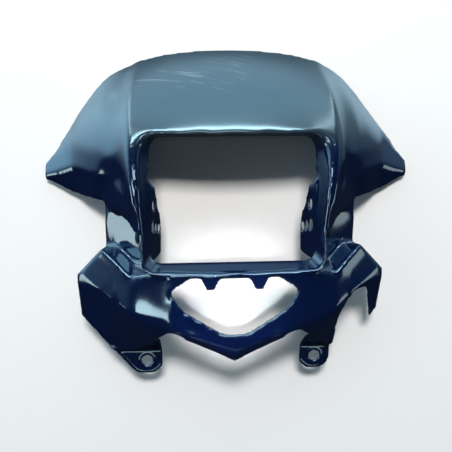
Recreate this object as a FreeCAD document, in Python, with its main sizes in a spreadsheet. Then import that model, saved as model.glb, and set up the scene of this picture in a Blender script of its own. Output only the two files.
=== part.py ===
import FreeCAD, Part
import math
import os
import Sketcher

os.makedirs("parts", exist_ok=True)
doc = FreeCAD.newDocument("fairing")
V = FreeCAD.Vector

# Frame: +Z up, the fairing faces -Y, origin midway between the two lower lug holes.
SIZES = {
    "wall": 2.6,
    # front: hood, arms and the sheet between them, as side profiles at the middle and at the creases
    "brow_x": 0, "brow_rear_y": 70, "brow_rear_z": 287, "brow_bend_y": -29, "brow_bend_z": 165,
    "brow_foot_y": -32, "brow_foot_z": 140, "brow_rise": 28.7,
    "crease_x": 90, "crease_rear_y": 70, "crease_rear_z": 277, "crease_bend_y": -21, "crease_bend_z": 157,
    "crease_foot_y": -20, "crease_foot_z": 136, "crease_rise": 27.2,
    # wing: side profiles from the crease out to the tip, with a straight run from one to the next
    "shoulder_x": 102, "shoulder_rear_y": 69, "shoulder_rear_z": 269, "shoulder_bend_y": -5.5,
    "shoulder_bend_z": 173, "shoulder_foot_y": -3, "shoulder_foot_z": 146, "shoulder_rise": 16.5,
    "wing_x": 116, "wing_rear_y": 67, "wing_rear_z": 255, "wing_bend_y": 10, "wing_bend_z": 183,
    "wing_foot_y": 16, "wing_foot_z": 154, "wing_rise": 8.7,
    "outer_x": 146, "outer_rear_y": 64, "outer_rear_z": 219, "outer_bend_y": 37, "outer_bend_z": 184,
    "outer_foot_y": 44, "outer_foot_z": 162, "outer_rise": 2.1,
    "tip_x": 173, "tip_rear_y": 54, "tip_rear_z": 182, "tip_bend_y": 49, "tip_bend_z": 173,
    "tip_foot_y": 50.5, "tip_foot_z": 168, "tip_rise": 0.3,
    # lower half: side profiles of ledge, top edge, jaw line and lower edge
    "chin_x": 0, "chin_ledge_y": -16, "chin_ledge_z": 113, "chin_top_y": -34, "chin_top_z": 107,
    "chin_jaw_y": -47, "chin_jaw_z": 36, "chin_low_y": -41, "chin_low_z": 20,
    "jowl_x": 57, "jowl_ledge_y": -12, "jowl_ledge_z": 113, "jowl_top_y": -31.3, "jowl_top_z": 106.6,
    "jowl_jaw_y": -40.8, "jowl_jaw_z": 54.8, "jowl_low_y": -38.5, "jowl_low_z": 48.6,
    "cheek_x": 92, "cheek_ledge_y": 0, "cheek_ledge_z": 106, "cheek_top_y": -23, "cheek_top_z": 97,
    "cheek_jaw_y": -28.6, "cheek_jaw_z": 66.5, "cheek_low_y": -9, "cheek_low_z": 13.7,
    "fold_x": 118, "fold_ledge_y": 16, "fold_ledge_z": 126, "fold_top_y": -6, "fold_top_z": 120,
    "fold_jaw_y": -12.7, "fold_jaw_z": 83.4, "fold_low_y": -3, "fold_low_z": 18,
    "tail_x": 143, "tail_ledge_y": 20, "tail_ledge_z": 96, "tail_top_y": 1.3, "tail_top_z": 93,
    "tail_jaw_y": -0.3, "tail_jaw_z": 84, "tail_low_y": 5.3, "tail_low_z": 46.4,
    # headlamp opening: rim at the front, throat at the back of the frame
    "rim_half_top": 82, "rim_half_low": 80, "rim_low_z": 105, "rim_high_z": 224, "rim_corner": 9,
    "rim_low_y": -31, "rim_rake": 10.5, "throat_depth": 17, "throat_half_top": 72, "throat_half_low": 74.5,
    "throat_rise": 7, "throat_drop": 7,
    # mouth with its two teeth
    "mouth_half": 57, "mouth_corner_z": 88, "mouth_low_z": 50, "mouth_shoulder_half": 39,
    "mouth_top_z": 99.5, "tooth_in": 13, "tooth_out": 30, "tooth_tip_in": 18, "tooth_tip_out": 26,
    "tooth_drop": 10, "mouth_low_half": 10, "mouth_low_radius": 26, "mouth_side_half": 47,
    "mouth_side_z": 72, "mouth_side_radius": 30, "mouth_corner_round": 3, "tooth_round": 2,
    # webs between the wings and the cheeks
    "web_in_x": 78, "web_in_y": -10, "web_out_x": 118, "web_out_y": 17, "web_low_z": 92, "web_high_z": 166,
    # lower lugs
    "lug_spacing": 164, "lug_width": 31, "lug_drop": 15, "lug_hole_dia": 10.4, "lug_plate": 3,
    "lug_bend_z": 14, "lug_neck_z": 46, "lug_neck_reach": 30, "lug_gusset_x": 118, "lug_gusset_z": 18,
    "lug_gusset_round": 4,
    # inner flanges with their slots
    "flange_x": 74, "flange_y": -6, "flange_toe": 18, "flange_top_z": 182, "flange_low_z": 105,
    "flange_root_top": 2, "flange_root_low": -9, "flange_reach": 26, "flange_neck": 16,
    "flange_foot_back": 4, "flange_belly_rise": 24, "flange_shoulder_back": 3, "flange_shoulder_rise": 40,
    "flange_neck_rise": 52, "flange_neck_back": 2, "flange_neck_drop": 10,
    "slot_width": 4.5, "slot_height": 8, "slot_upper_y": 6, "slot_upper_z": 153, "slot_near_y": 4,
    "slot_near_z": 134, "slot_middle_y": 11, "slot_middle_z": 131, "slot_far_y": 18, "slot_far_z": 127,
    # notch between the right tail and the right lug
    "notch_in_x": 101, "notch_out_x": 128, "notch_side_z": 52, "notch_top_z": 78, "notch_low_z": 0,
    "notch_in_flare": 3, "notch_out_flare": 14, "notch_out_step": 6, "notch_out_drop": 8,
    "notch_crown_out": 2, "notch_crown_in": 10, "notch_low_round": 5, "notch_crown_out_round": 7,
    "notch_crown_in_round": 9, "notch_side_round": 6,
}
sheet = doc.addObject("Spreadsheet::Sheet", "Sizes")
for row, (name, value) in enumerate(SIZES.items(), 1):
    sheet.set(f"A{row}", name)
    sheet.set(f"B{row}", str(value))
    sheet.setAlias(f"B{row}", name)
doc.recompute()

SIDE = FreeCAD.Rotation(V(1, 1, 1), 120)     # sketch x runs along Y, sketch y along Z
FRONT = FreeCAD.Rotation(V(1, 0, 0), 90)     # sketch x runs along X, sketch y along Z
SIDE_NAMES = {1: "right", -1: "left"}

# Shares of half the lug's width.
LUG_ROUNDNESS = 0.9
GUSSET_LEAN = 0.7


class Number:
    """A size with the expression that binds it."""

    def __init__(self, value, text):
        self.value = value
        self.text = text

    def __add__(self, other):
        other = number(other)
        return Number(self.value + other.value, f"({self.text} + {other.text})")

    def __sub__(self, other):
        other = number(other)
        return Number(self.value - other.value, f"({self.text} - {other.text})")

    def __mul__(self, factor):
        return Number(self.value * factor, f"({self.text} * {factor})")

    def __neg__(self):
        return self * -1

    def over(self, other):
        return Number(self.value / other.value, f"({self.text} / {other.text})")

    def times(self, other):
        return Number(self.value * other.value, f"({self.text} * {other.text})")


def number(size):
    return size if isinstance(size, Number) else Number(float(size), f"{size}")


def size(name):
    return Number(float(sheet.get(name)), f"Sizes.{name}")


def hypotenuse(a, b):
    return Number(math.hypot(a.value, b.value), f"hypot({a.text}; {b.text})")


WALL = size("wall")
# How far a cutting tool runs, past the chin ahead and past the hood behind.
PAST_FRONT = -size("chin_jaw_y") * 3
PAST_BACK = size("brow_rear_y") * 2


def new_sketch(name, rotation, x=0, y=0, z=0):
    sketch = doc.addObject("Sketcher::SketchObject", name)
    base = [number(x), number(y), number(z)]
    sketch.Placement = FreeCAD.Placement(V(*[item.value for item in base]), rotation)
    for axis, item in zip("xyz", base):
        sketch.setExpression(f"Placement.Base.{axis}", item.text)
    return sketch


def bind(sketch, constraint, item):
    index = sketch.addConstraint(constraint)
    sketch.setExpression(f"Constraints[{index}]", item.text)


def pin(sketch, geometry, end, point):
    """Holds one end of a sketch line or arc at a point given by two sizes."""
    for kind, item in zip(("DistanceX", "DistanceY"), point):
        bind(sketch, Sketcher.Constraint(kind, -1, 1, geometry, end, item.value), item)


def unit_normal(start, end):
    """Direction square to a line, on the left of someone going along it."""
    run, rise = end[0] - start[0], end[1] - start[1]
    length = hypotenuse(run, rise)
    return -rise.over(length), run.over(length)


def offset_chain(points, distance):
    """The chain of lines at a distance to the left of another, with mitred corners."""
    normals = [unit_normal(p, q) for p, q in zip(points, points[1:])]
    shifts = [normals[0]]
    for a, b in zip(normals, normals[1:]):
        spread = a[0].times(b[0]) + a[1].times(b[1]) + 1
        shifts.append(((a[0] + b[0]).over(spread), (a[1] + b[1]).over(spread)))
    shifts.append(normals[-1])
    return [tuple(c + s.times(distance) for c, s in zip(p, shift)) for p, shift in zip(points, shifts)]


def polygon(name, rotation, points, **base):
    """Closed outline of straight lines with every corner bound to the sizes."""
    sketch = new_sketch(name, rotation, **base)
    points = [(number(a), number(b)) for a, b in points]
    places = [V(a.value, b.value, 0) for a, b in points]
    lines = [Part.LineSegment(p, q) for p, q in zip(places, places[1:] + places[:1])]
    sketch.addGeometry(lines, False)
    for i in range(len(lines)):
        after = (i + 1) % len(lines)
        sketch.addConstraint(Sketcher.Constraint("Coincident", i, 2, after, 1))
    for i, point in enumerate(points):
        pin(sketch, i, 1, point)
    return sketch


def place(point):
    return V(point[0].value, point[1].value, 0)


def points_of(name, *parts):
    return [(size(f"{name}_{part}_y"), size(f"{name}_{part}_z")) for part in parts]


def arch_chain(name):
    """Rear edge, apex of the arch's curve, bend and foot of a side profile."""
    rear, bend, foot = points_of(name, "rear", "bend", "foot")
    outward = unit_normal(bend, rear)
    lift = size(f"{name}_rise") * 2
    apex = tuple((a + b) * 0.5 + n.times(lift) for a, b, n in zip(rear, bend, outward))
    return [rear, apex, bend, foot]


def arch_curve(poles):
    curve = Part.BSplineCurve()
    curve.buildFromPolesMultsKnots([place(pole) for pole in poles], [3, 3], [0, 1], False, 2)
    return curve


def hold_apex(sketch, geometry, apex):
    """Holds the middle pole of an arch curve at a point given by two sizes."""
    first_pole = sketch.GeometryCount
    sketch.exposeInternalGeometry(geometry)
    pin(sketch, first_pole + 1, 3, apex)


def arch_section(name, side=1):
    """Thin side profile: an arched sheet from the rear edge to the bend, then a flat facet to the foot."""
    sketch = new_sketch(f"{name}_section_{SIDE_NAMES[side]}", SIDE, x=size(f"{name}_x") * side)
    outer = arch_chain(name)
    inner = offset_chain(outer, WALL)
    corners = [outer[2], outer[3], inner[3], inner[2]]
    sketch.addGeometry([arch_curve(outer[:3])], False)
    sketch.addGeometry([Part.LineSegment(place(p), place(q)) for p, q in zip(corners, corners[1:])], False)
    sketch.addGeometry([arch_curve(inner[:3]), Part.LineSegment(place(inner[0]), place(outer[0]))], False)
    for joint in ((0, 2, 1, 1), (1, 2, 2, 1), (2, 2, 3, 1), (3, 2, 4, 2), (4, 1, 5, 1), (5, 2, 0, 1)):
        sketch.addConstraint(Sketcher.Constraint("Coincident", *joint))
    ends = ((0, 1), (1, 1), (1, 2), (2, 2), (3, 2), (5, 1))
    for (geometry, end), point in zip(ends, [outer[0]] + corners + [inner[0]]):
        pin(sketch, geometry, end, point)
    hold_apex(sketch, 0, outer[1])
    hold_apex(sketch, 4, inner[1])
    return sketch


def jaw_section(name, side=1):
    """Thin side profile of the lower half: ledge, top edge, jaw line, lower edge, and back inside."""
    outer = points_of(name, "ledge", "top", "jaw", "low")
    inner = offset_chain(outer, WALL)
    return polygon(f"{name}_jaw_{SIDE_NAMES[side]}", SIDE, outer + inner[::-1], x=size(f"{name}_x") * side)


def loft(name, sections, ruled):
    feature = doc.addObject("Part::Loft", name)
    feature.Sections = sections
    feature.Solid = True
    feature.Ruled = ruled
    return feature


def extrusion(name, sketch, direction, ahead, behind=0):
    feature = doc.addObject("Part::Extrusion", name)
    feature.Base = sketch
    feature.DirMode = "Custom"
    feature.Dir = direction
    feature.Solid = True
    for key, item in (("LengthFwd", number(ahead)), ("LengthRev", number(behind))):
        setattr(feature, key, item.value)
        feature.setExpression(key, item.text)
    return feature


def mirrored(name, source):
    feature = doc.addObject("Part::Mirroring", name)
    feature.Source = source
    feature.Normal = V(1, 0, 0)
    feature.Base = V(0, 0, 0)
    return feature


def fused(name, *shapes):
    feature = doc.addObject("Part::MultiFuse", name)
    feature.Shapes = list(shapes)
    return feature


def cut(name, base, tool):
    feature = doc.addObject("Part::Cut", name)
    feature.Base = base
    feature.Tool = tool
    return feature


def common(name, *shapes):
    feature = doc.addObject("Part::MultiCommon", name)
    feature.Shapes = list(shapes)
    return feature


# Upper half: the front sheet between the creases, and one wing mirrored to the other side.
crease_right = arch_section("crease")
front = loft("front_sheet", [arch_section("crease", -1), arch_section("brow"), crease_right], False)
wing_sections = [arch_section(n) for n in ("shoulder", "wing", "outer", "tip")]
wing = loft("wing_sheet", [crease_right] + wing_sections, True)
wing_left = mirrored("wing_sheet_left", wing)

# Lower half: one sheet of flat panels, its sections mirrored about the middle.
STATIONS = ["jowl", "cheek", "fold", "tail"]
left_jaw = [jaw_section(n, -1) for n in reversed(STATIONS)]
right_jaw = [jaw_section(n) for n in STATIONS]
jaw = loft("jaw_sheet", left_jaw + [jaw_section("chin")] + right_jaw, True)

# Webs: flat panels seen edge-on from above, standing behind the wing foot and the cheek ledge.
web_in = (size("web_in_x"), size("web_in_y"))
web_out = (size("web_out_x"), size("web_out_y"))
web_front = [web_in, web_out]
web_plan = polygon("web_plan", FreeCAD.Rotation(), web_front + offset_chain(web_front, WALL)[::-1],
                   z=size("web_low_z"))
web = extrusion("web", web_plan, V(0, 0, 1), size("web_high_z") - size("web_low_z"))
web_left = mirrored("web_left", web)


def rounded(name, rotation, corners, **base):
    """Closed outline whose corners, given as (x, y, radius), are rounded where the radius is not zero."""
    sketch = new_sketch(name, rotation, **base)
    corners = [tuple(number(item) for item in corner) for corner in corners]
    count = len(corners)
    at = [V(c[0].value, c[1].value, 0) for c in corners]
    starts, ends, arcs = [None] * count, [None] * count, {}
    for i, corner in enumerate(corners):
        back = (at[i - 1] - at[i]).normalize()
        ahead = (at[(i + 1) % count] - at[i]).normalize()
        radius = corner[2].value
        if not radius:
            ends[i - 1] = starts[i] = at[i]
            continue
        half = back.getAngle(ahead) / 2
        ends[i - 1] = at[i] + back * (radius / math.tan(half))
        starts[i] = at[i] + ahead * (radius / math.tan(half))
        centre = at[i] + (back + ahead).normalize() * (radius / math.sin(half))
        left_turn = back.cross(ahead).z < 0
        first, last = (ends[i - 1], starts[i]) if left_turn else (starts[i], ends[i - 1])
        angles = [math.atan2((p - centre).y, (p - centre).x) for p in (first, last)]
        arcs[i] = (left_turn, Part.ArcOfCircle(Part.Circle(centre, V(0, 0, 1), radius), *angles))
    sketch.addGeometry([Part.LineSegment(p, q) for p, q in zip(starts, ends)], False)
    for i, corner in enumerate(corners):
        before = (i - 1) % count
        if i not in arcs:
            sketch.addConstraint(Sketcher.Constraint("Coincident", before, 2, i, 1))
            pin(sketch, i, 1, corner[:2])
            continue
        left_turn, curve = arcs[i]
        arc = sketch.addGeometry(curve, False)
        sketch.addConstraint(Sketcher.Constraint("Tangent", before, 2, arc, 1 if left_turn else 2))
        sketch.addConstraint(Sketcher.Constraint("Tangent", i, 1, arc, 2 if left_turn else 1))
        point = sketch.addGeometry(Part.Point(at[i]), True)
        sketch.addConstraint(Sketcher.Constraint("PointOnObject", point, 1, before))
        sketch.addConstraint(Sketcher.Constraint("PointOnObject", point, 1, i))
        pin(sketch, point, 1, corner[:2])
        bind(sketch, Sketcher.Constraint("Radius", arc, corner[2].value), corner[2])
    return sketch


def raked_outline(name, half_low, half_top, low, high, depth, grow):
    """Four-sided outline of the headlamp opening in its raked plane, at a depth behind the rim."""
    corner = size("rim_corner") + grow
    sketch = rounded(name, FreeCAD.Rotation(V(1, 0, 0), 90 - size("rim_rake").value), [
        (-(half_low + grow), low - grow, corner),
        (half_low + grow, low - grow, corner),
        (half_top + grow, high + grow, corner),
        (-(half_top + grow), high + grow, corner),
    ])
    lean = "Sizes.rim_rake * 1 deg"
    sketch.setExpression("Placement.Base.y", f"Sizes.rim_low_y + {depth.text} * cos({lean})")
    sketch.setExpression("Placement.Base.z", f"Sizes.rim_low_z - {depth.text} * sin({lean})")
    sketch.setExpression("Placement.Rotation.Angle", f"90 deg - {lean}")
    return sketch


def frame_loft(name, grow):
    """Funnel from the rim of the headlamp opening back to the throat."""
    none = number(0)
    rim_high = size("rim_high_z") - size("rim_low_z")
    rim = raked_outline(f"{name}_rim", size("rim_half_low"), size("rim_half_top"), none, rim_high, none, grow)
    throat = raked_outline(f"{name}_throat", size("throat_half_low"), size("throat_half_top"),
                           size("throat_rise"), rim_high - size("throat_drop"), size("throat_depth"), grow)
    return rim, loft(name, [rim, throat], True)


def ahead_section(name, side=1):
    """The space in front of an arched section, out to a plane well ahead of the fairing."""
    sketch = new_sketch(f"{name}_ahead_{SIDE_NAMES[side]}", SIDE, x=size(f"{name}_x") * side)
    rear, apex, bend, foot = arch_chain(name)
    corners = [bend, foot, (-PAST_FRONT, foot[1]), (-PAST_FRONT, rear[1]), rear]
    sketch.addGeometry([arch_curve([rear, apex, bend])], False)
    sketch.addGeometry([Part.LineSegment(place(p), place(q)) for p, q in zip(corners, corners[1:])], False)
    for joint in ((0, 2, 1, 1), (1, 2, 2, 1), (2, 2, 3, 1), (3, 2, 4, 1), (4, 2, 0, 1)):
        sketch.addConstraint(Sketcher.Constraint("Coincident", *joint))
    ends = ((1, 1), (1, 2), (2, 2), (3, 2), (0, 1))
    for (geometry, end), point in zip(ends, corners):
        pin(sketch, geometry, end, point)
    hold_apex(sketch, 0, apex)
    return sketch


def jaw_ahead(name, side=1):
    """The space in front of a jaw section, out to a plane well ahead of the fairing."""
    top, jaw_line, low = points_of(name, "top", "jaw", "low")
    return polygon(f"{name}_ahead_of_jaw_{SIDE_NAMES[side]}", SIDE,
                   [top, jaw_line, low, (-PAST_FRONT, low[1]), (-PAST_FRONT, top[1])],
                   x=size(f"{name}_x") * side)


# Headlamp opening: the sheets are cut at the rim, and the funnel frame is set into the cut.
rim, throat_space = frame_loft("throat_space", number(0))
frame_block = frame_loft("frame_block", WALL)[1]
ahead_sections = [ahead_section("crease", -1), ahead_section("brow"), ahead_section("crease")]
ahead = loft("space_ahead", ahead_sections, False)
frame = cut("frame", cut("frame_tube", frame_block, throat_space), ahead)
opening = doc.addObject("Part::Extrusion", "opening")
opening.Base = rim
opening.DirMode = "Normal"
opening.Solid = True
for key, item in (("LengthFwd", PAST_FRONT), ("LengthRev", PAST_BACK)):
    setattr(opening, key, item.value)
    opening.setExpression(key, item.text)

# Lower lugs: a plate with a rounded end whose neck leans forward into the jaw.
half_spacing = size("lug_spacing") * 0.5
lug_half = size("lug_width") * 0.5
plate = size("lug_plate")
bend = size("lug_bend_z")
neck = size("lug_neck_z")
reach = size("lug_neck_reach")
lug_back = [(number(0), -size("lug_drop")), (number(0), bend), (-reach, neck)]
lug_side = polygon("lug_side", SIDE, lug_back + offset_chain(lug_back, plate)[::-1], x=-size("fold_x"))
lug_bar = extrusion("lug_bar", lug_side, V(1, 0, 0), size("fold_x") * 2)
lug_round = lug_half * LUG_ROUNDNESS
lug_face = rounded("lug_face", FRONT, [
    (half_spacing - lug_half, -size("lug_drop"), lug_round),
    (half_spacing + lug_half, -size("lug_drop"), lug_round),
    (half_spacing + lug_half, neck, 0),
    (half_spacing - lug_half, neck, 0),
])
gusset_face = rounded("gusset_face", FRONT, [
    (-half_spacing + lug_half, neck, 0),
    (-size("lug_gusset_x"), neck, 0),
    (-size("lug_gusset_x"), size("lug_gusset_z"), size("lug_gusset_round")),
    (-half_spacing - lug_half * GUSSET_LEAN, -size("lug_drop"), lug_round),
    (-half_spacing + lug_half, -size("lug_drop"), lug_round),
])
lug_columns = fused("lug_columns", extrusion("lug_column", lug_face, V(0, 1, 0), PAST_BACK, PAST_FRONT),
                    extrusion("gusset_column", gusset_face, V(0, 1, 0), PAST_BACK, PAST_FRONT))
below = loft("space_ahead_of_jaw", [jaw_ahead(n, -1) for n in reversed(STATIONS)] + [jaw_ahead("chin")]
             + [jaw_ahead(n) for n in STATIONS], True)
lugs = cut("lugs", common("lug_plates", lug_bar, lug_columns), below)

# Inner flanges: flat plates behind the throat, toed in toward the back, each with four slots.
foot_z = size("flange_low_z")
top_z = size("flange_top_z")
flange_side = polygon("flange_side", SIDE, [
    (size("flange_root_low"), foot_z),
    (size("flange_reach") - size("flange_foot_back"), foot_z),
    (size("flange_reach"), foot_z + size("flange_belly_rise")),
    (size("flange_reach") - size("flange_shoulder_back"), foot_z + size("flange_shoulder_rise")),
    (size("flange_neck"), foot_z + size("flange_neck_rise")),
    (size("flange_neck") - size("flange_neck_back"), top_z - size("flange_neck_drop")),
    (size("flange_root_top"), top_z),
])
flange_plate = extrusion("flange_plate", flange_side, V(1, 0, 0), WALL)
slot_tools = []
for name in ("upper", "near", "middle", "far"):
    slot = doc.addObject("Part::Box", f"slot_{name}")
    for key, item in (("Length", WALL * 4), ("Width", size("slot_width")), ("Height", size("slot_height"))):
        setattr(slot, key, item.value)
        slot.setExpression(key, item.text)
    slot_base = (-WALL, size(f"slot_{name}_y"), size(f"slot_{name}_z"))
    for axis, item in zip("xyz", slot_base):
        slot.setExpression(f"Placement.Base.{axis}", item.text)
    slot_tools.append(slot)
flange = cut("flange", flange_plate, fused("flange_slots", *slot_tools))
flange.setExpression("Placement.Base.x", "Sizes.flange_x - Sizes.wall / 2")
flange.setExpression("Placement.Base.y", "Sizes.flange_y")
flange.Placement.Rotation = FreeCAD.Rotation(V(0, 0, 1), 1)
flange.setExpression("Placement.Rotation.Angle", "Sizes.flange_toe * 1 deg")
flange_left = mirrored("flange_left", flange)

# Mouth under the opening: a lens with two teeth hanging from its upper edge.
mouth_half = size("mouth_half")
mouth_top = size("mouth_top_z")
tooth_z = mouth_top - size("tooth_drop")
upper_right = [
    (mouth_half, size("mouth_corner_z"), size("mouth_corner_round")),
    (size("mouth_shoulder_half"), mouth_top, 0),
    (size("tooth_out"), mouth_top, size("tooth_round")),
    (size("tooth_tip_out"), tooth_z, size("tooth_round")),
    (size("tooth_tip_in"), tooth_z, size("tooth_round")),
    (size("tooth_in"), mouth_top, size("tooth_round")),
]
lower_right = [
    (size("mouth_low_half"), size("mouth_low_z"), size("mouth_low_radius")),
    (size("mouth_side_half"), size("mouth_side_z"), size("mouth_side_radius")),
]
mouth_face = rounded("mouth_face", FRONT,
                     [(-size("mouth_low_half"), size("mouth_low_z"), size("mouth_low_radius"))]
                     + lower_right + upper_right
                     + [(-number(x), z, r) for x, z, r in reversed(upper_right)]
                     + [(-size("mouth_side_half"), size("mouth_side_z"), size("mouth_side_radius"))])
mouth = extrusion("mouth", mouth_face, V(0, 1, 0), PAST_BACK, PAST_FRONT)

# Notch that parts the right tail from the right lug.
notch_in = size("notch_in_x")
notch_out = size("notch_out_x")
notch_side = size("notch_side_z")
notch_face = rounded("notch_face", FRONT, [
    (notch_in - size("notch_in_flare"), size("notch_low_z"), 0),
    (notch_out + size("notch_out_flare"), size("notch_low_z"), 0),
    (notch_out + size("notch_out_step"), notch_side - size("notch_out_drop"), size("notch_low_round")),
    (notch_out - size("notch_crown_out"), size("notch_top_z"), size("notch_crown_out_round")),
    (notch_in + size("notch_crown_in"), size("notch_top_z"), size("notch_crown_in_round")),
    (notch_in, notch_side, size("notch_side_round")),
])
notch = extrusion("notch", notch_face, V(0, 1, 0), PAST_BACK, PAST_FRONT)

# Lug holes
holes = []
for side in (1, -1):
    hole = doc.addObject("Part::Cylinder", f"lug_hole_{SIDE_NAMES[side]}")
    hole.setExpression("Radius", "Sizes.lug_hole_dia / 2")
    hole.setExpression("Height", "Sizes.lug_plate * 4")
    hole.Placement = FreeCAD.Placement(V(0, 0, 0), FreeCAD.Rotation(V(1, 0, 0), 90))
    hole.setExpression("Placement.Base.x", (half_spacing * side).text)
    hole.setExpression("Placement.Base.y", "Sizes.lug_plate * 1.5")
    holes.append(hole)

sheets = fused("sheets", front, wing, wing_left, jaw, web, web_left)
rimmed = cut("rimmed", sheets, opening)
bodied = fused("bodied", rimmed, frame, lugs, flange, flange_left)
shell = cut("fairing_shell", bodied, fused("openings", mouth, notch, *holes))
shell.Label = "fairing_shell"
shell.Placement = FreeCAD.Placement()
shell.Refine = True
doc.recompute()

for obj in doc.Objects:
    if "Invalid" in obj.State or "Error" in obj.State:
        raise RuntimeError(f"{obj.Name} did not build")
if len(shell.Shape.Solids) != 1 or not shell.Shape.isValid():
    raise RuntimeError(f"{shell.Label} is not one valid solid")
shell.Shape.exportStep(f"parts/{shell.Label}.step")
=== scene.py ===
import math

import bmesh
import bpy
from bpy.props import FloatProperty, FloatVectorProperty, IntProperty, PointerProperty
from mathutils import Matrix, Vector
from mathutils.bvhtree import BVHTree
from mathutils.geometry import intersect_point_line


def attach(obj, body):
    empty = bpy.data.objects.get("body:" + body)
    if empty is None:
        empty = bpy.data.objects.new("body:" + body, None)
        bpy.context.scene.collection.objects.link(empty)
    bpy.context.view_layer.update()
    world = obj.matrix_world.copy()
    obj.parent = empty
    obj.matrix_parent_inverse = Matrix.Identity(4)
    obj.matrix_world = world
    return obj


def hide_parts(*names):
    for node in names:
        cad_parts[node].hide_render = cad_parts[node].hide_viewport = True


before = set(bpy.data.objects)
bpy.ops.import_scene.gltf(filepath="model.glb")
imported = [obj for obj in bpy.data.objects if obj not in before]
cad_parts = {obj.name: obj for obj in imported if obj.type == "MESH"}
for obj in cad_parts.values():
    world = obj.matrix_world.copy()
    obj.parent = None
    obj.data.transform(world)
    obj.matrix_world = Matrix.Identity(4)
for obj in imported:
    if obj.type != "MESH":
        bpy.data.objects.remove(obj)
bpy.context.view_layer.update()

bl_info = {
    "name": "Motorcycle front fairing",
    "version": (1, 0, 0),
    "blender": (4, 5, 0),
    "location": "View3D > Sidebar > Fairing",
    "description": "Dresses the moulded headlamp fairing and sets its stage",
    "category": "Object",
}

NODE = "fairing_shell"

# Lines on the front of the shell, as (distance from the middle, height) in metres.
JAW_RIDGE = ((0.1365, 0.095), (0.12, 0.084), (0.108, 0.073), (0.094, 0.065), (0.08, 0.052))
CHIN_LINE = ((0, 0.036), (0.057, 0.0548))
# How far a ridge reaches above and below its line.
JAW_REACH = (0.024, 0.055)
CHIN_REACH = (0.01, 0.01)

# The crease as a bow: its distance from the middle at mid height, and the heights that it spans.
CREASE_X = 0.092
CREASE_SWEEP = 0.0083
CREASE_FOOT_Z = 0.15
CREASE_MID_Z = 0.214
CREASE_HALF_SPAN = 0.063

PLASTIC_IOR = 2.0  # set for the photo's look, above that of ABS
TABLE_SIZE = 1.6
TABLE_LEAN = math.radians(80)
TABLE_PLACE = (0, 0.0585, 0.178)
WARM = (1, 0.92, 0.86)


class FairingShellSettings(bpy.types.PropertyGroup):
    """Finish of the moulded shell."""

    grain: FloatProperty(
        name="Grain", description="Mesh step of the moulded form", unit="LENGTH", min=0.0016, default=0.0017)
    softness: IntProperty(
        name="Softness", description="Passes that round the moulded edges", min=0, default=5)
    dome_passes: IntProperty(
        name="Dome passes", description="Passes that round the wings", min=0, default=40)
    roll_passes: IntProperty(
        name="Roll passes", description="Passes that round the creases and the lip", min=0, default=10)
    tip_length: FloatProperty(
        name="Tip length", description="How far the wing tips are drawn out", unit="LENGTH", default=0.003)
    throat_lift: FloatProperty(
        name="Throat lift", description="How far the throat's upper wall rises to the back", unit="LENGTH",
        default=0.0045)
    ledge_slope: FloatProperty(
        name="Ledge slope", description="Fall of the cheek's ledge over its depth", default=0.6)
    crease_bow: FloatProperty(
        name="Crease bow", description="How far the creases stand out at mid height", unit="LENGTH",
        default=0.002)
    crease_sweep: FloatProperty(
        name="Crease sweep", description="How far the creases draw in at the rear edge", unit="LENGTH",
        default=CREASE_SWEEP)
    valley: FloatProperty(
        name="Valley", description="Slope of the facet in the wing beside the crease", default=0.35)
    fullness: FloatProperty(
        name="Fullness", description="How far the wings bulge between crease and rear edge", unit="LENGTH",
        default=0.004)
    left_lift: FloatProperty(
        name="Left lift", description="How much further out the left wing's rear edge stands", unit="LENGTH",
        default=0.005)
    facet_drop: FloatProperty(
        name="Facet drop", description="How far the wings' lower edge is drawn down before the tip",
        unit="LENGTH", default=0.006)
    jaw_ridge: FloatProperty(
        name="Jaw ridge", description="Height of the ridge across the cheek", unit="LENGTH", default=0.004)
    chin_line: FloatProperty(
        name="Chin line", description="Height of the line along the chin", unit="LENGTH", default=0.0015)
    plastic: FloatVectorProperty(
        name="Plastic", description="Colour of the moulded plastic", subtype="COLOR",
        size=4, min=0, max=1, default=(0.001, 0.005, 0.034, 1))
    # Haze colour: a dull film on the scuffed hood, and also a painted sheen that lightens the hood as the
    # overhead light would.
    haze_and_sheen: FloatVectorProperty(
        name="Haze", description="Colour of the dull film on the scuffed hood", subtype="COLOR",
        size=4, min=0, max=1, default=(0.03, 0.052, 0.07, 1))
    scuff: FloatVectorProperty(
        name="Scuff", description="Colour of the fine scratches on the hood", subtype="COLOR",
        size=4, min=0, max=1, default=(0.15, 0.2, 0.22, 1))
    tint: FloatVectorProperty(
        name="Tint", description="Colour of the sheen seen straight on", subtype="COLOR",
        size=4, min=0, max=1, default=(0.5, 0.82, 1.0, 1))
    gloss_roughness: FloatProperty(
        name="Gloss roughness", description="Roughness of the untouched plastic", subtype="FACTOR",
        min=0, max=1, default=0.1)
    scuffed_roughness: FloatProperty(
        name="Scuffed roughness", description="Roughness where the hood is scuffed", subtype="FACTOR",
        min=0, max=1, default=0.3)


class FairingStageSettings(bpy.types.PropertyGroup):
    """Camera and table."""

    yaw: FloatProperty(
        name="Yaw", description="Turn of the camera round the upright axis", subtype="ANGLE",
        default=math.radians(-4))
    elevation: FloatProperty(
        name="Elevation", description="Height of the camera above the part's own horizon", subtype="ANGLE",
        default=math.radians(20))
    roll: FloatProperty(
        name="Roll", description="Turn of the camera about its own line of sight", subtype="ANGLE",
        default=math.radians(0.4))
    target: FloatVectorProperty(
        name="Target", description="Point that the camera looks at", subtype="TRANSLATION",
        unit="LENGTH", size=3, default=(-0.0056, 0.0059, 0.135))
    distance: FloatProperty(
        name="Distance", description="Camera to target", unit="LENGTH", default=0.56)
    field: FloatProperty(
        name="Field", description="Angle of view across the square frame", subtype="ANGLE",
        default=2 * math.atan(226 / 609))
    table: FloatVectorProperty(
        name="Table", description="Colour of the table", subtype="COLOR", size=4, min=0, max=1,
        default=(0.97, 0.97, 0.97, 1))


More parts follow.
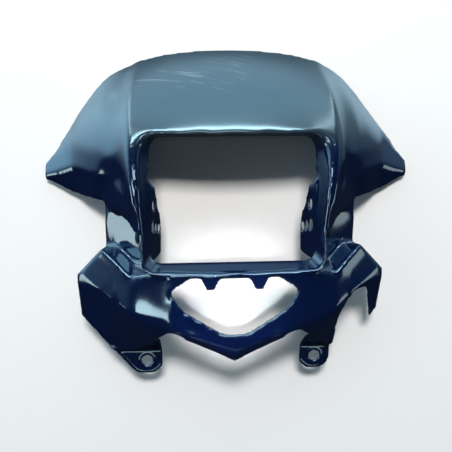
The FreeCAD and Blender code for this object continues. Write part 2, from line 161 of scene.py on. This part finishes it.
def tree_of(name):
    """A new node material and its shader."""
    material = bpy.data.materials.new(name)
    material.use_nodes = True
    nodes = material.node_tree.nodes
    return material, nodes, material.node_tree.links, nodes["Principled BSDF"]


def smooth_range(nodes, links, value, start, end, low=0, high=1):
    """Smooth step of a node value from one level to another."""
    step = nodes.new("ShaderNodeMapRange")
    step.interpolation_type = "SMOOTHSTEP"
    for name, number in (("From Min", start), ("From Max", end), ("To Min", low), ("To Max", high)):
        step.inputs[name].default_value = number
    links.new(value, step.inputs["Value"])
    return step.outputs["Result"]


def calculate(nodes, links, operation, *values):
    """Result of a math node on other nodes' values."""
    sum_node = nodes.new("ShaderNodeMath")
    sum_node.operation = operation
    for socket, value in zip(sum_node.inputs, values):
        links.new(value, socket)
    return sum_node.outputs["Value"]


def gloss_plastic(settings):
    """Near-black moulded gloss plastic, dulled by scuffs on the hood, whose colour is also lifted by a
    painted sheen of the overhead light.
    """
    material, nodes, links, shader = tree_of("gloss_black_plastic")
    place = nodes.new("ShaderNodeTexCoord").outputs["Object"]

    height = nodes.new("ShaderNodeSeparateXYZ")
    links.new(place, height.inputs["Vector"])
    # Height band of the hood, where the colour turns to the haze: partly a dull film, partly painted sheen.
    hood = smooth_range(nodes, links, height.outputs["Z"], 0.205, 0.235)

    turn = nodes.new("ShaderNodeMapping")
    turn.vector_type = "TEXTURE"
    turn.inputs["Rotation"].default_value = (0, 0, math.radians(-20))
    turn.inputs["Scale"].default_value = (0.06, 0.0022, 0.004)
    links.new(place, turn.inputs["Vector"])
    lines = nodes.new("ShaderNodeTexNoise")
    lines.inputs["Scale"].default_value = 1
    lines.inputs["Detail"].default_value = 3
    links.new(turn.outputs["Vector"], lines.inputs["Vector"])
    scratches = smooth_range(nodes, links, lines.outputs["Fac"], 0.52, 0.64)

    clouds = nodes.new("ShaderNodeTexNoise")
    clouds.inputs["Scale"].default_value = 26
    clouds.inputs["Detail"].default_value = 6
    links.new(place, clouds.inputs["Vector"])
    worn = smooth_range(nodes, links, clouds.outputs["Fac"], 0.42, 0.62)
    upper = smooth_range(nodes, links, height.outputs["Z"], 0.25, 0.275)
    left = smooth_range(nodes, links, height.outputs["X"], 0.05, -0.02)
    scuff = calculate(nodes, links, "MULTIPLY", calculate(nodes, links, "MULTIPLY", upper, left),
                      calculate(nodes, links, "MULTIPLY", worn, scratches))

    # Mix towards the haze on the hood: dull film and painted sheen in the base colour.
    haze_and_sheen = nodes.new("ShaderNodeMix")
    haze_and_sheen.data_type = "RGBA"
    haze_and_sheen.inputs["A"].default_value = settings.plastic
    haze_and_sheen.inputs["B"].default_value = settings.haze_and_sheen
    links.new(hood, haze_and_sheen.inputs["Factor"])
    colour = nodes.new("ShaderNodeMix")
    colour.data_type = "RGBA"
    colour.inputs["B"].default_value = settings.scuff
    links.new(haze_and_sheen.outputs["Result"], colour.inputs["A"])
    links.new(scuff, colour.inputs["Factor"])
    links.new(colour.outputs["Result"], shader.inputs["Base Color"])

    rough = smooth_range(nodes, links, height.outputs["Z"], 0.206, 0.262,
                         settings.gloss_roughness, settings.scuffed_roughness)
    links.new(rough, shader.inputs["Roughness"])

    peel = nodes.new("ShaderNodeTexNoise")
    peel.inputs["Scale"].default_value = 260
    links.new(place, peel.inputs["Vector"])
    bump = nodes.new("ShaderNodeBump")
    bump.inputs["Strength"].default_value = 0.03
    bump.inputs["Distance"].default_value = 0.0004
    links.new(peel.outputs["Fac"], bump.inputs["Height"])
    links.new(bump.outputs["Normal"], shader.inputs["Normal"])
    shader.inputs["IOR"].default_value = PLASTIC_IOR
    shader.inputs["Specular Tint"].default_value = settings.tint
    return material


def table_paint(settings):
    """Matt white table that is only there from the front."""
    material, nodes, links, shader = tree_of("white_table")
    shader.inputs["Base Color"].default_value = settings.table
    shader.inputs["Roughness"].default_value = 0.6
    clear = nodes.new("ShaderNodeBsdfTransparent")
    side = nodes.new("ShaderNodeNewGeometry")
    choice = nodes.new("ShaderNodeMixShader")
    links.new(side.outputs["Backfacing"], choice.inputs["Fac"])
    links.new(shader.outputs["BSDF"], choice.inputs[1])
    links.new(clear.outputs["BSDF"], choice.inputs[2])
    links.new(choice.outputs["Shader"], nodes["Material Output"].inputs["Surface"])
    return material


def moulded_copy(node, grain):
    """A closed, evenly meshed copy of the solid that lies on its faces."""
    form = bmesh.new()
    form.from_mesh(node.data)
    bmesh.ops.remove_doubles(form, verts=form.verts, dist=1e-5)
    faces = BVHTree.FromBMesh(form)
    mesh = bpy.data.meshes.new("shell_blank")
    form.to_mesh(mesh)
    form.free()
    blank = bpy.data.objects.new("shell_blank", mesh)
    bpy.context.collection.objects.link(blank)
    even = blank.modifiers.new("even", "REMESH")
    even.mode = "VOXEL"
    even.voxel_size = grain
    copy = bpy.data.meshes.new_from_object(blank.evaluated_get(bpy.context.evaluated_depsgraph_get()))
    bpy.data.objects.remove(blank)
    bpy.data.meshes.remove(mesh)
    for vert in copy.vertices:
        vert.co = faces.find_nearest(vert.co)[0]
    return copy


def ramp(value, start, end):
    """Smooth step from 0 at the start to 1 at the end."""
    share = min(1, max(0, (value - start) / (end - start)))
    return share * share * (3 - 2 * share)


def bow_creases(form, settings):
    """Draws the creases in toward the rear edge and the foot, and out at mid height."""
    for vert in form.verts:
        x, z = abs(vert.co.x), vert.co.z
        height = max(z, CREASE_FOOT_Z) - CREASE_MID_Z
        shift = settings.crease_bow - settings.crease_sweep * (height / CREASE_HALF_SPAN) ** 2
        inner = 0.083 - 0.028 * ramp(z, 0.226, 0.245)
        share = ramp(x, inner, 0.09) * (1 - ramp(x, 0.09, 0.125)) * ramp(z, 0.118, 0.15)
        vert.co.x += shift * share * math.copysign(1, vert.co.x)


def raise_ridge(form, line, height, reach_above, reach_below):
    """Draws the front out along a line, with a sharp top and a soft foot on both sides."""
    points = [Vector((x, z)) for x, z in line]
    for vert in form.verts:
        place = Vector((abs(vert.co.x), vert.co.z))
        share = 1
        for a, b in zip(points, points[1:]):
            foot, along = intersect_point_line(place, a, b)
            foot = a if along < 0 else b if along > 1 else foot.to_2d()
            reach = reach_above if place.y > foot.y else reach_below
            share = min(share, (place - foot).length / reach)
        vert.co.y -= height * (1 - share) ** 2


def crease_line(z):
    """Distance of the crease from the middle at a height."""
    return CREASE_X - CREASE_SWEEP * ((max(z, CREASE_FOOT_Z) - CREASE_MID_Z) / CREASE_HALF_SPAN) ** 2


def sink_valley(form, slope):
    """Tilts a facet into the wing beside the crease, with a firm upper border."""
    start, end = Vector((0.091, 0.216)), Vector((0.122, 0.187))
    down = Vector((end.y - start.y, start.x - end.x)).normalized()
    for vert in form.verts:
        x, z = abs(vert.co.x), vert.co.z
        below = down.dot(Vector((x, z)) - start)
        if below > 0 and z > 0.13:
            line = crease_line(z)
            share = ramp(x, line, line + 0.011) * (1 - ramp(x, 0.112, 0.128)) * (1 - ramp(below, 0.014, 0.04))
            vert.co.y += slope * min(below, 0.018) * share


def fill_wings(form, height, left_lift):
    """Bulges the wings out between crease and rear edge, and lifts the left one's rear edge."""
    for vert in form.verts:
        x, y, z = abs(vert.co.x), vert.co.y, vert.co.z
        along = min(1, max(0, (y + 0.01) / 0.072))
        bulge = (4 * along * (1 - along) * ramp(x, 0.094, 0.115) * (1 - ramp(x, 0.15, 0.172))
                 * ramp(z, 0.182, 0.205))
        lift = along ** 2 * ramp(x, 0.088, 0.116) * (1 - ramp(x, 0.13, 0.162)) * ramp(z, 0.175, 0.21)
        outward = height * bulge + (left_lift * lift if vert.co.x < 0 else 0)
        vert.co += outward * Vector((0.65 * math.copysign(1, vert.co.x), -0.55 * (1 - along), 0.52))


def drop_facet(form, drop):
    """Draws the lower edge of the wings down before the tip."""
    for vert in form.verts:
        x, z = abs(vert.co.x), vert.co.z
        if z > 0.13:
            vert.co.z -= (drop * ramp(x, 0.115, 0.146) * (1 - ramp(x, 0.146, 0.173))
                          * (1 - ramp(z, 0.165, 0.186)))


def draw_tips(form, length):
    """Draws the wing tips out."""
    for vert in form.verts:
        share = max(0, (abs(vert.co.x) - 0.146) / 0.027)
        vert.co.x += length * share * math.copysign(1, vert.co.x)


def lift_throat(form, rise):
    """Levels the upper wall of the throat behind the lip."""
    for vert in form.verts:
        inside = 1 - ramp(abs(vert.co.x), 0.066, 0.08)
        band = ramp(vert.co.z, 0.2, 0.21) * (1 - ramp(vert.co.z, 0.225, 0.228))
        vert.co.z += rise * inside * band * ramp(vert.co.y, -0.014, 0.003)


def drop_ledge(form, slope):
    """Lets the ledge behind the cheek's outer edge fall away to the back."""
    for vert in form.verts:
        x = abs(vert.co.x)
        out = min(1, max(0, (x - 0.092) / 0.026))
        edge_y = -0.023 + 0.017 * out + 0.0073 * max(0, (x - 0.118) / 0.025)
        edge_z = 0.097 + 0.023 * out - 0.027 * max(0, (x - 0.118) / 0.025)
        behind = vert.co.y - edge_y
        if behind > 0 and -0.005 < vert.co.z - edge_z < 0.012:
            vert.co.z -= slope * behind * ramp(x, 0.104, 0.12)


def round_off(form, chosen, passes):
    """Rounds the chosen part of the form."""
    verts = [vert for vert in form.verts if chosen(abs(vert.co.x), vert.co.y, vert.co.z)]
    for _ in range(passes):
        bmesh.ops.smooth_vert(form, verts=verts, factor=0.5,
                              use_axis_x=True, use_axis_y=True, use_axis_z=True)


def everywhere(x, y, z):
    """The whole form."""
    return True


def on_dome(x, y, z):
    """The wing outside the crease and above its lower facet, away from the rear edge."""
    return x > 0.097 and z > 0.191 and y < 0.06 - 0.1 * max(0, x - 0.15)


def on_facet(x, y, z):
    """The lower facet of the wing and its tip."""
    return x > 0.1 and 0.14 < z < 0.2 and (y < 0.03 or x > 0.125)


def on_crease(x, y, z):
    """A strip along the crease from the rear edge to the foot."""
    return z > 0.15 and abs(x - crease_line(z)) < 0.007 and y < 0.06


def on_throat(x, y, z):
    """The side walls of the throat."""
    return 0.066 < x < 0.0805 and 0.112 < z < 0.222 and y < 0.004


def on_jaw(x, y, z):
    """The bend from the chin to the cheek."""
    return (0.056 if z > 0.07 else 0.045) < x < 0.108 and 0.035 < z < 0.098 and y < -0.012


def on_rim(x, y, z):
    """A strip along the upper and the side edges of the headlamp opening."""
    return y < 0.002 and x < 0.0875 and (0.221 < z < 0.238 or x > 0.077 and 0.13 < z < 0.23)


class FAIRING_OT_shell(bpy.types.Operator):
    """Makes the moulded shell with its rounded edges and gives it its finish"""
    bl_idname = "fairing.shell"
    bl_label = "Moulded shell"

    def execute(self, context):
        settings = context.scene.fairing_shell
        node = bpy.data.objects.get(NODE)
        if node is None:
            raise RuntimeError(f"{NODE} is not in the frame")
        mesh = moulded_copy(node, settings.grain)
        if not mesh.polygons:
            raise RuntimeError("the moulded form is empty")
        form = bmesh.new()
        form.from_mesh(mesh)
        round_off(form, on_dome, settings.dome_passes)
        bow_creases(form, settings)
        sink_valley(form, settings.valley)
        draw_tips(form, settings.tip_length)
        fill_wings(form, settings.fullness, settings.left_lift)
        drop_facet(form, settings.facet_drop)
        lift_throat(form, settings.throat_lift)
        drop_ledge(form, settings.ledge_slope)
        raise_ridge(form, JAW_RIDGE, settings.jaw_ridge, *JAW_REACH)
        raise_ridge(form, CHIN_LINE, settings.chin_line, *CHIN_REACH)
        round_off(form, everywhere, settings.softness)
        round_off(form, on_facet, settings.softness)
        round_off(form, on_jaw, 3 * settings.roll_passes)
        round_off(form, on_crease, settings.roll_passes)
        round_off(form, on_rim, 2 * settings.roll_passes)
        round_off(form, on_throat, settings.roll_passes)
        for face in form.faces:
            face.smooth = True
        form.to_mesh(mesh)
        form.free()
        mesh.name = "moulded_shell"
        mesh.materials.clear()
        mesh.materials.append(gloss_plastic(settings))
        shell = bpy.data.objects.new("moulded_shell", mesh)
        context.collection.objects.link(shell)
        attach(shell, "root")
        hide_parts(NODE)
        return {"FINISHED"}


def softbox(name, place, aim, width, height, power, colour):
    """A rectangular lamp that faces a point."""
    lamp = bpy.data.lights.new(name, "AREA")
    lamp.shape = "RECTANGLE"
    lamp.size = width
    lamp.size_y = height
    lamp.energy = power
    lamp.color = colour
    box = bpy.data.objects.new(name, lamp)
    bpy.context.collection.objects.link(box)
    box.location = place
    box.rotation_euler = (Vector(aim) - Vector(place)).to_track_quat("-Z", "Y").to_euler()
    return box


def studio_world():
    """A room that is pale above and at the sides and dark behind the camera."""
    world = bpy.data.worlds.new("studio")
    world.use_nodes = True
    nodes, links = world.node_tree.nodes, world.node_tree.links
    way = nodes.new("ShaderNodeSeparateXYZ")
    links.new(nodes.new("ShaderNodeTexCoord").outputs["Generated"], way.inputs["Vector"])
    above = smooth_range(nodes, links, way.outputs["Z"], 0.65, 0.9, 0.03, 1.7)
    not_below = smooth_range(nodes, links, way.outputs["Z"], -0.3, 0.4)
    left = smooth_range(nodes, links, way.outputs["X"], -0.3, -0.9, 0, 2.8)
    right = smooth_range(nodes, links, way.outputs["X"], 0.6, 1.0, 0, 0.5)
    not_front = smooth_range(nodes, links, way.outputs["Y"], -0.9, -0.2)
    aside = smooth_range(nodes, links, calculate(nodes, links, "ABSOLUTE", way.outputs["X"]), 0.3, 0.6)
    high = smooth_range(nodes, links, way.outputs["Z"], 0.68, 0.85)
    rear = smooth_range(nodes, links, way.outputs["Y"], 0.3, 0.65, 0, 2.0)
    back = calculate(nodes, links, "MULTIPLY", rear, calculate(nodes, links, "MAXIMUM", aside, high))
    beside = calculate(nodes, links, "MULTIPLY", calculate(nodes, links, "ADD", left, right), not_front)
    around = calculate(nodes, links, "MULTIPLY", calculate(nodes, links, "MAXIMUM", beside, back), not_below)
    level = calculate(nodes, links, "MAXIMUM", above, around)
    sky = nodes["Background"]
    sky.inputs["Color"].default_value = (0.68, 0.88, 1.0, 1)
    links.new(level, sky.inputs["Strength"])
    return world


class FAIRING_OT_stage(bpy.types.Operator):
    """Sets the white table, the soft lamps and the camera"""
    bl_idname = "fairing.stage"
    bl_label = "Stage"

    def execute(self, context):
        settings = context.scene.fairing_stage
        mesh = bpy.data.meshes.new("table")
        sheet = bmesh.new()
        lean = Matrix.Rotation(TABLE_LEAN, 4, "X")
        bmesh.ops.create_grid(sheet, x_segments=1, y_segments=1, size=TABLE_SIZE,
                              matrix=Matrix.Translation(TABLE_PLACE) @ lean)
        sheet.to_mesh(mesh)
        sheet.free()
        table = bpy.data.objects.new("table", mesh)
        context.collection.objects.link(table)
        mesh.materials.append(table_paint(settings))
        # The plastic mirrors the room and the cards, not the table.
        table.visible_glossy = False

        context.scene.world = studio_world()
        key = softbox("key", (-0.1, -1.9, 2.1), (0, 0.02, 0.1), 0.7, 0.4, 68, (1, 0.97, 0.94))
        key.visible_glossy = False
        mouth_fill = softbox("mouth_fill", (-0.03, -0.75, 0.36), (0, 0, 0.066), 0.04, 0.04, 0.03,
                             (0.95, 0.98, 1))
        mouth_fill.data.spread = math.radians(10)
        mouth_fill.visible_glossy = False
        # Cards that are seen in reflections only.
        cards = [
            softbox("lip_card", (0, -0.9, 1.05), (0.02, 0.02, 0.15), 1.25, 0.25, 13, (1, 0.99, 0.97)),
            softbox("front_card", (-0.1, -1.2, 0.45), (0, 0, 0.19), 0.5, 0.25, 2.2, WARM),
            softbox("jaw_card", (-0.59, -1.09, 0.12), (-0.085, -0.03, 0.075), 0.16, 0.3, 1.2, WARM),
            softbox("chin_card", (0, -0.8, -0.75), (0, -0.04, 0.03), 0.7, 0.12, 0.6, (1, 0.95, 0.9)),
        ]
        for side, power in ((-1, 1.1), (1, 0.5)):
            cards.append(softbox("side_card", (0.89 * side, -0.34, -0.06), (0.1 * side, 0, 0.13),
                                 0.26, 0.26, power, (1, 0.88, 0.78)))
            cards.append(softbox("top_card", (0.76 * side, -0.1, 1.05), (0.09 * side, 0.02, 0.21),
                                 1.2, 0.1, 2, WARM))
        for card in cards:
            card.visible_diffuse = False

        back = Vector((math.sin(settings.yaw) * math.cos(settings.elevation),
                       -math.cos(settings.yaw) * math.cos(settings.elevation),
                       math.sin(settings.elevation)))
        right = Vector((math.cos(settings.yaw), math.sin(settings.yaw), 0))
        pose = Matrix((right, back.cross(right), back)).transposed().to_4x4()
        pose = pose @ Matrix.Rotation(settings.roll, 4, "Z")
        lens = bpy.data.cameras.new("camera")
        lens.angle = settings.field
        camera = bpy.data.objects.new("camera", lens)
        context.collection.objects.link(camera)
        camera.matrix_world = Matrix.Translation(Vector(settings.target) + back * settings.distance) @ pose
        context.scene.camera = camera
        context.scene.view_settings.view_transform = "Standard"
        return {"FINISHED"}


class FAIRING_PT_panel(bpy.types.Panel):
    """Lists the fairing's operators"""
    bl_idname = "FAIRING_PT_panel"
    bl_label = "Fairing"
    bl_space_type = "VIEW_3D"
    bl_region_type = "UI"
    bl_category = "Fairing"

    def draw(self, context):
        for operator in OPERATORS:
            self.layout.operator(operator.bl_idname)


OPERATORS = (FAIRING_OT_shell, FAIRING_OT_stage)
CLASSES = (FairingShellSettings, FairingStageSettings) + OPERATORS + (FAIRING_PT_panel,)


def register():
    for item in CLASSES:
        bpy.utils.register_class(item)
    bpy.types.Scene.fairing_shell = PointerProperty(type=FairingShellSettings)
    bpy.types.Scene.fairing_stage = PointerProperty(type=FairingStageSettings)


def unregister():
    del bpy.types.Scene.fairing_shell
    del bpy.types.Scene.fairing_stage
    for item in reversed(CLASSES):
        bpy.utils.unregister_class(item)


def main():
    register()
    bpy.ops.fairing.shell()
    bpy.ops.fairing.stage()


if __name__ == "__main__":
    main()
